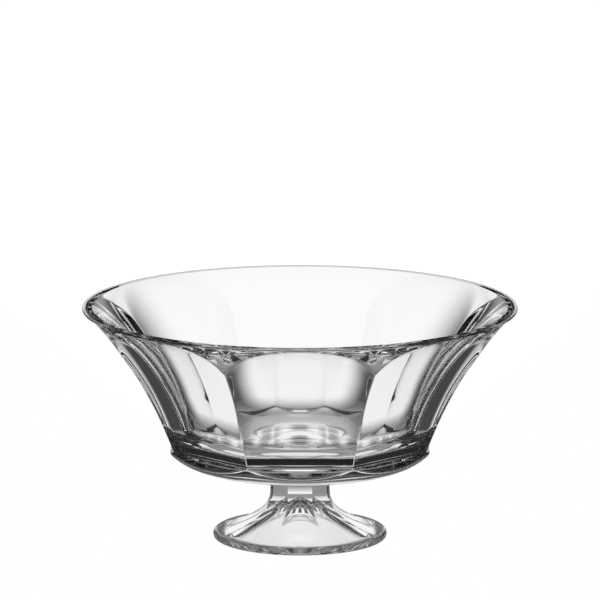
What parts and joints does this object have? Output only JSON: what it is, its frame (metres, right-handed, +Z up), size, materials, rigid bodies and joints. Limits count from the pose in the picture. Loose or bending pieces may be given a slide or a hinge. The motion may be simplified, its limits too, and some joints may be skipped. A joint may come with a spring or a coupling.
{
  "type": "footed trifle bowl",
  "caption": "Clear pressed-glass trifle bowl with flat flared panels, a round lip and a thick base with a faceted band, joined to a panelled stem with a round hollow foot.",
  "frame": {"origin": "middle of the flat ring that the foot stands on, at table level", "axes": "+Z up the axis of the bowl, -Y out of the middle of one panel, +X to the right of that panel seen from outside"},
  "size_m": [0.25, 0.25, 0.1356],
  "materials": {
    "pressed_glass": "clear, colourless, fire-polished pressed glass",
    "joint_glass": "clear, colourless glass joint"
  },
  "bodies": {
    "root": {"bowl": "pressed_glass", "joint_wafer": "joint_glass", "pedestal_foot": "pressed_glass"}
  },
  "joints": []
}
